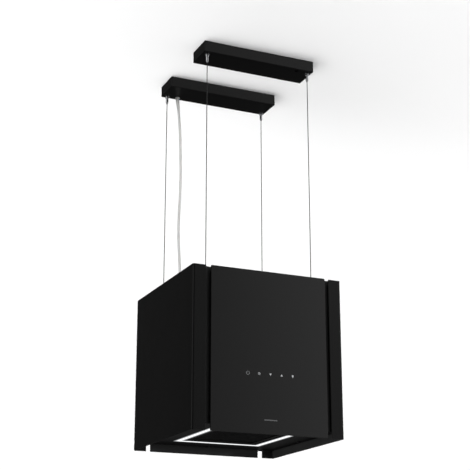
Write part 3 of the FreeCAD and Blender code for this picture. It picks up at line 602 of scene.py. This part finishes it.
# Carbon granules behind the cassette's ribs
g = Mat("activated_carbon", rough=0.55, spec=0.45)
granule_bumps_and_gap_shade = g.voronoi(520.0, out="Distance")
# painted shade: each granule's colour darkens from its middle to its edge, standing in for shade in the gaps between
# granules
g.color(granule_bumps_and_gap_shade, [(0.0, grey(0.030)), (0.5, grey(0.012)), (1.0, grey(0.004))])
g.rough(g.voronoi(520.0, out="Color"), 0.35, 0.75, 0.0, 1.0)
g.bump(granule_bumps_and_gap_shade, 0.8, 0.0007)
carbon = g.mat

g = Mat("black_rubber", rough=0.72, spec=0.35)
g.color(g.noise(120.0, 3.0), [(0.3, grey(0.016)), (0.7, grey(0.026))])
g.rough(g.noise(260.0, 3.0), 0.62, 0.82)
g.bump(g.noise(900.0, 3.0), 0.2, 0.00008)
rubber = g.mat

# Stator: stacked laminations with enamelled copper between the teeth
g = Mat("stator_laminations_and_copper", rough=0.38, metallic=1.0)
lam = g.wave(900.0, "X", 0.0)
g.color(lam, [(0.0, (0.42, 0.17, 0.06)), (0.35, (0.62, 0.27, 0.10)), (0.5, (0.30, 0.31, 0.32)), (1.0, (0.42, 0.43, 0.44))])
g.rough(g.noise(600.0, 3.0), 0.28, 0.50)
g.bump(lam, 0.35, 0.0001)
copper = g.mat

g = Mat("nickel_magnet", rough=0.22, metallic=1.0)
g.color(g.noise(200.0, 3.0), [(0.3, (0.50, 0.495, 0.48)), (0.7, (0.60, 0.595, 0.58))])
g.rough(g.noise(500.0, 3.0), 0.15, 0.30)
g.bump(g.noise(1500.0, 2.0), 0.08, 0.00003)
magnet = g.mat

g = Mat("capacitor_can", rough=0.42, spec=0.5)
g.color(g.noise(60.0, 3.0), [(0.3, (0.48, 0.49, 0.50)), (0.7, (0.58, 0.59, 0.60))])
g.rough(g.noise(220.0, 3.0), 0.34, 0.52)
g.bump(g.noise(1200.0, 2.0), 0.12, 0.00004)
can_grey = g.mat

LOOK = {
    "black_steel": black_steel,
    "black_glass": black_glass,
    "chrome": chrome,
    "steel_rope": rope_steel,
    "galvanised_steel": zinc,
    "screw_black": screw_black,
    "steel": steel,
    "cable_grey": cable_grey,
    "white_plastic": white_plastic,
    "black_plastic": black_plastic,
    "opal_diffuser": opal,
    "aluminium_mesh": filter_black,
    "silver_print": silver,
    "white_light": key_light,
    "circuit_board": board,
    "carbon": carbon,
    "rubber": rubber,
    "copper_winding": copper,
    "magnet": magnet,
    "capacitor_grey": can_grey,
}
slot_of = {s["node"]: s["material_slot"] for s in frame["record"]["subparts"]}
special = {
    "ceiling_cover_front": cover_black,
    "ceiling_cover_rear": cover_black,
    "inner_housing": inner_black,
    "top_plate": inner_black,
    "front_carrier": inner_black,
    "rear_carrier": inner_black,
    "led_boards": led_board,
    "impeller": fan_plastic,
    "cable_gland": black_polyamide,
}
for name, o in nodes.items():
    mat = special.get(name, LOOK[slot_of[name]])
    if not o.material_slots:
        o.data.materials.append(mat)
    for s in o.material_slots:
        s.material = mat


def paint(obj, mat):
    obj.data.materials.clear()
    obj.data.materials.append(mat)
    return obj


paint(power_cable, cable_grey)
for r in ropes.values():
    paint(r, rope_steel)

# ================================================================ key symbols and dash
FACE = -192.5 * MM
KEY_Z = -828.6 * MM
KEYS = [(1.0 + (k - 2) * 28.2) * MM for k in range(5)]


def arc(cx, cz, r, a0, a1, n):
    return [
        (cx + r * math.cos(math.radians(a0 + (a1 - a0) * k / n)), cz + r * math.sin(math.radians(a0 + (a1 - a0) * k / n)))
        for k in range(n + 1)
    ]


def symbol(name, parts, mat):
    ob = join_parts(name, parts)
    bm = bmesh.new()
    bm.from_mesh(ob.data)
    bmesh.ops.recalc_face_normals(bm, faces=bm.faces)
    bm.to_mesh(ob.data)
    bm.free()
    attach(ob, "hood")
    return paint(ob, mat)


def rounded(points, r, n=5):
    """A polygon with its corners rounded by r."""
    out = []
    m = len(points)
    for i in range(m):
        a, b, c = (Vector(points[j % m]) for j in (i - 1, i, i + 1))
        u, w = (a - b).normalized(), (c - b).normalized()
        half = u.angle(w) / 2
        cut = r / math.tan(half)
        centre = b + (u + w).normalized() * (r / math.sin(half))
        p0, p1 = b + u * cut, b + w * cut
        a0 = math.atan2(p0.y - centre.y, p0.x - centre.x)
        a1 = math.atan2(p1.y - centre.y, p1.x - centre.x)
        while a1 - a0 > math.pi:
            a1 -= 2 * math.pi
        while a1 - a0 < -math.pi:
            a1 += 2 * math.pi
        for k in range(n + 1):
            t = a0 + (a1 - a0) * k / n
            out.append((centre.x + r * math.cos(t), centre.y + r * math.sin(t)))
    return out


Y0, Y1 = FACE - 0.14 * MM, FACE + 0.02 * MM
x = KEYS[0]
power = symbol(
    "key_power",
    [
        band(arc(x, KEY_Z - 0.2 * MM, 3.9 * MM, 125, 415, 40), 0.75 * MM, Y0, Y1),
        band([(x, KEY_Z + 0.4 * MM), (x, KEY_Z + 4.6 * MM)], 0.75 * MM, Y0, Y1),
    ],
    key_light_dim,
)
x = KEYS[1]
timer = symbol(
    "key_timer",
    [
        band(arc(x, KEY_Z, 2.5 * MM, 0, 348, 32), 0.75 * MM, Y0, Y1, closed=True),
        band([(x, KEY_Z + 1.9 * MM), (x, KEY_Z - 0.2 * MM), (x + 1.4 * MM, KEY_Z - 0.2 * MM)], 0.65 * MM, Y0, Y1),
    ],
    key_light,
)
x = KEYS[2]
tri = [(x - 3.0 * MM, KEY_Z + 2.2 * MM), (x, KEY_Z - 2.8 * MM), (x + 3.0 * MM, KEY_Z + 2.2 * MM)]
down = symbol("key_down", [prism(rounded(tri, 0.45 * MM), Y0, Y1)], key_light)
x = KEYS[3]
tri = [(x - 3.0 * MM, KEY_Z - 2.2 * MM), (x + 3.0 * MM, KEY_Z - 2.2 * MM), (x, KEY_Z + 2.8 * MM)]
up = symbol("key_up", [prism(rounded(tri, 0.45 * MM), Y0, Y1)], key_light)
x = KEYS[4]
bulb = arc(x, KEY_Z + 0.7 * MM, 2.3 * MM, -55, 235, 28)
bulb = bulb + [(x - 1.1 * MM, KEY_Z - 2.0 * MM), (x + 1.1 * MM, KEY_Z - 2.0 * MM)]
lamp = symbol(
    "key_lamp",
    [
        prism(bulb, Y0, Y1),
        band([(x - 1.1 * MM, KEY_Z - 2.6 * MM), (x + 1.1 * MM, KEY_Z - 2.6 * MM)], 0.5 * MM, Y0, Y1),
        band([(x - 0.7 * MM, KEY_Z - 3.4 * MM), (x + 0.7 * MM, KEY_Z - 3.4 * MM)], 0.5 * MM, Y0, Y1),
    ],
    key_light,
)
for ob in (power, timer, down, up, lamp):
    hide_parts("touch_key_symbols")

cx, cz, hw, hh = 1.0 * MM, -932.9 * MM, 16.5 * MM, 1.1 * MM
pill = arc(cx + hw - hh, cz, hh, -90, 90, 14) + arc(cx - hw + hh, cz, hh, 90, 270, 14)
dash = join_parts("badge_dash_rounded", [prism(pill, FACE - 0.38 * MM, FACE + 0.02 * MM, 0.16 * MM)])
sharpen(paint(dash, silver), 30)
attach(dash, "hood")
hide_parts("badge_dash")


# ================================================================ grease filter: three layers of expanded metal
def expanded_layer(name, z, a, b, x0, x1, y0, y1, hole, lift, thick):
    """Rhombus lattice with half diagonals a and b; every cell keeps a hole, and its knuckles stand up from its bonds."""
    nx, ny = int(round((x1 - x0) / (2 * a))), int(round((y1 - y0) / (2 * b)))
    a, b = (x1 - x0) / (2 * nx), (y1 - y0) / (2 * ny)
    verts, faces, index = [], [], {}

    def vert(x, y, dz):
        x, y = min(max(x, x0), x1), min(max(y, y0), y1)
        key = (round(x * 1e7), round(y * 1e7), round(dz * 1e7))
        if key not in index:
            index[key] = len(verts)
            verts.append((x, y, z + dz))
        return index[key]

    for half in (0, 1):
        for i in range(nx + half):
            for j in range(ny + half):
                cx_ = x0 + (2 * i + 1 - half) * a
                cy_ = y0 + (2 * j + 1 - half) * b
                outer = [(cx_ + a, cy_, lift), (cx_, cy_ + b, -lift), (cx_ - a, cy_, lift), (cx_, cy_ - b, -lift)]
                inner = [(cx_ + a * hole, cy_, lift * 0.3), (cx_, cy_ + b * hole, -lift * 0.3), (cx_ - a * hole, cy_, lift * 0.3), (cx_, cy_ - b * hole, -lift * 0.3)]
                o_ = [vert(*p) for p in outer]
                n_ = [vert(*p) for p in inner]
                for k in range(4):
                    k2 = (k + 1) % 4
                    face = [o_[k], o_[k2], n_[k2], n_[k]]
                    face = [f for m_, f in enumerate(face) if face.index(f) == m_]
                    if len(face) >= 3:
                        faces.append(face)
    ob = mesh_object(name, verts, faces)
    bm = bmesh.new()
    bm.from_mesh(ob.data)
    bmesh.ops.dissolve_degenerate(bm, dist=1e-7, edges=bm.edges)
    bmesh.ops.recalc_face_normals(bm, faces=bm.faces)
    bm.to_mesh(ob.data)
    bm.free()
    mod = ob.modifiers.new("thickness", "SOLIDIFY")
    mod.thickness = thick
    mod.offset = 0.0
    return ob


Z_MESH0, Z_MESH1 = -943.1 * MM, -939.3 * MM
layers = [
    ("filter_mesh_lower", -942.45 * MM, 4.6 * MM, 2.5 * MM, 0.50),
    ("filter_mesh_middle", -941.2 * MM, 2.6 * MM, 4.9 * MM, 0.44),
    ("filter_mesh_upper", -939.95 * MM, 4.2 * MM, 2.3 * MM, 0.42),
]
for lname, z, a, b, hole in layers:
    ob = expanded_layer(lname, z, a, b, -83.6 * MM, 83.6 * MM, -83.6 * MM, 82.1 * MM, hole, 0.32 * MM, 0.35 * MM)
    paint(ob, filter_black)
    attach(ob, "grease_filter")
    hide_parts("filter_mesh")


# ================================================================ gripper springs
GZ = -587.0 * MM
for key, (x, y) in corners.items():
    z0, z1 = GZ - 12.95 * MM, GZ - 3.55 * MM
    wire_r, coil_r, turns = 0.42 * MM, 2.42 * MM, 6.0
    n = 150
    pts = []
    for k in range(n + 1):
        t = k / n
        # closed ends: the pitch eases off over the first and last turn
        e = min(max((t - 0.10) / 0.80, 0.0), 1.0)
        z = z0 + wire_r + (z1 - z0 - 2 * wire_r) * (0.08 * t + 0.92 * e)
        a = 2 * math.pi * turns * t
        pts.append(Vector((x + coil_r * math.cos(a), y + coil_r * math.sin(a), z)))
    sp = tube("gripper_spring_" + key, pts, round_outline(wire_r, 10))
    paint(sp, steel)
    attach(sp, "hood")
    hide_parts("gripper_springs")
    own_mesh(sp)


# ================================================================ stage, lights
def plane(name, z, half, faces_down):
    v = [(-half, -half, z), (half, -half, z), (half, half, z), (-half, half, z)]
    f = [(0, 3, 2, 1)] if faces_down else [(0, 1, 2, 3)]
    ob = mesh_object(name, v, f)
    ob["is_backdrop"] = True
    return ob


def one_sided(name, color):
    m = bpy.data.materials.new(name)
    m.use_nodes = True
    nt = m.node_tree
    nt.nodes.clear()
    out = nt.nodes.new("ShaderNodeOutputMaterial")
    mix = nt.nodes.new("ShaderNodeMixShader")
    dif = nt.nodes.new("ShaderNodeBsdfDiffuse")
    tra = nt.nodes.new("ShaderNodeBsdfTransparent")
    geo = nt.nodes.new("ShaderNodeNewGeometry")
    dif.inputs["Color"].default_value = (*color, 1)
    nt.links.new(geo.outputs["Backfacing"], mix.inputs["Fac"])
    nt.links.new(dif.outputs[0], mix.inputs[1])
    nt.links.new(tra.outputs[0], mix.inputs[2])
    nt.links.new(mix.outputs[0], out.inputs["Surface"])
    return m


ceiling = plane("ceiling", 0.0006, 34.0, True)
floor = plane("floor", -1.85, 34.0, False)
paint(ceiling, one_sided("ceiling_white", (0.92, 0.92, 0.92)))
paint(floor, one_sided("floor_pale", (0.90, 0.90, 0.89)))
for o in (ceiling, floor):
    o.visible_diffuse = False
    o.visible_glossy = False
    o.visible_transmission = False
    o.visible_shadow = False

stage_ceiling = bpy.data.collections.new("lit_ceiling")
stage_ceiling.objects.link(ceiling)
stage_floor = bpy.data.collections.new("lit_floor")
stage_floor.objects.link(floor)
pieces_lit = bpy.data.collections.new("lit_object")


def sun(name, direction, strength, angle, receivers=None, color=(1, 1, 1)):
    d = bpy.data.lights.new(name, "SUN")
    d.energy = strength
    d.angle = math.radians(angle)
    d.color = color
    o = link(bpy.data.objects.new(name, d))
    o.rotation_euler = Vector(direction).normalized().to_track_quat("-Z", "Y").to_euler()
    if receivers is not None:
        o.light_linking.receiver_collection = receivers
    return o


up = sun("ceiling_fill", (0.42, -0.50, 0.76), 3.95, 104, stage_ceiling)
sun("floor_fill", (0.15, 0.25, -0.95), 3.6, 120, stage_floor)

world = bpy.data.worlds.new("studio")
scene.world = world
world.use_nodes = True
nt = world.node_tree
nt.nodes.clear()
out = nt.nodes.new("ShaderNodeOutputWorld")
mix = nt.nodes.new("ShaderNodeMixShader")
white = nt.nodes.new("ShaderNodeBackground")
white.inputs["Color"].default_value = (1.02, 1.02, 1.02, 1)
soft = nt.nodes.new("ShaderNodeBackground")
path = nt.nodes.new("ShaderNodeLightPath")
tc = nt.nodes.new("ShaderNodeTexCoord")
sep = nt.nodes.new("ShaderNodeSeparateXYZ")
nt.links.new(tc.outputs["Generated"], sep.inputs[0])
neg = nt.nodes.new("ShaderNodeMath"); neg.operation = "MULTIPLY"; neg.inputs[1].default_value = -1.0
nt.links.new(sep.outputs["Y"], neg.inputs[0])
ang = nt.nodes.new("ShaderNodeMath"); ang.operation = "ARCTAN2"
nt.links.new(sep.outputs["X"], ang.inputs[0])
nt.links.new(neg.outputs[0], ang.inputs[1])
turn = nt.nodes.new("ShaderNodeMapRange")
turn.inputs["From Min"].default_value = -math.pi
turn.inputs["From Max"].default_value = math.pi
nt.links.new(ang.outputs[0], turn.inputs["Value"])
ramp = nt.nodes.new("ShaderNodeValToRGB")
nt.links.new(turn.outputs[0], ramp.inputs["Fac"])
STUDIO = [  # azimuth in degrees (0 = in front, 90 = right), radiance
    (-180, 0.16), (-160, 0.05), (-130, 0.05), (-108, 0.85), (-75, 1.90), (-52, 0.50), (-35, 0.05), (10, 0.05),
    (18, 0.14), (30, 1.20), (36, 1.70), (58, 1.60), (90, 0.90), (120, 0.30), (150, 0.14), (180, 0.15),
]
cr = ramp.color_ramp
while len(cr.elements) < len(STUDIO):
    cr.elements.new(0.5)
for e, (deg, v) in zip(cr.elements, STUDIO):
    e.position = (deg + 180) / 360
    e.color = (v, v, v, 1)
rise = nt.nodes.new("ShaderNodeMapRange")
rise.inputs["From Min"].default_value = -1.0
nt.links.new(sep.outputs["Z"], rise.inputs["Value"])
level = nt.nodes.new("ShaderNodeValToRGB")
nt.links.new(rise.outputs[0], level.inputs["Fac"])
LEVEL = [(-90, 0.25), (-35, 0.30), (-12, 0.62), (5, 0.90), (28, 1.05), (60, 0.85), (90, 0.70)]
lr = level.color_ramp
while len(lr.elements) < len(LEVEL):
    lr.elements.new(0.5)
for e, (deg, v) in zip(lr.elements, LEVEL):
    e.position = (math.sin(math.radians(deg)) + 1) / 2
    e.color = (v, v, v, 1)
both = nt.nodes.new("ShaderNodeMix")
both.data_type = "RGBA"
both.blend_type = "MULTIPLY"
both.inputs["Factor"].default_value = 1.0
nt.links.new(ramp.outputs["Color"], both.inputs[6])
nt.links.new(level.outputs["Color"], both.inputs[7])
nt.links.new(both.outputs[2], soft.inputs["Color"])
nt.links.new(path.outputs["Is Camera Ray"], mix.inputs["Fac"])
nt.links.new(soft.outputs[0], mix.inputs[1])
nt.links.new(white.outputs[0], mix.inputs[2])
nt.links.new(mix.outputs[0], out.inputs["Surface"])

bars = bpy.data.collections.new("shades_ceiling")
for name in frame["record"]["behaviour"]["bodies"]["ceiling_mount"]:
    if name in nodes and nodes[name].name in scene.objects:
        bars.objects.link(nodes[name])
for ob in ropes.values():
    bars.objects.link(ob)
up.light_linking.blocker_collection = bars
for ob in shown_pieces():
    pieces_lit.objects.link(ob)
cable_lit = bpy.data.collections.new("lit_cable")
cable_lit.objects.link(power_cable)
cable_lit.objects.link(nodes["cable_bush"])
sun("cable_fill", (0.46, 0.87, -0.16), 1.45, 30, cable_lit)
sun("top_fill", (-0.30, 0.25, -0.92), 1.5, 60, pieces_lit)
for lname, names, direction, strength in (
    ("side_skirt_fill", ("left_shell", "right_shell"), (0.80, 0.08, 0.60), 1.35),
    ("rear_skirt_fill", ("rear_panel",), (0.10, 0.75, 0.65), 11.0),
    ("groove_fill", ("front_carrier", "inner_housing"), (-0.12, 0.95, 0.29), 1.3),
):
    lit = bpy.data.collections.new("lit_" + lname)
    for name in names:
        lit.objects.link(nodes[name])
    low = sun(lname, direction, strength, 40, lit)
    low.visible_glossy = False
sun("rear_fill", (-0.354, -0.612, -0.707), 1.2, 60, pieces_lit)
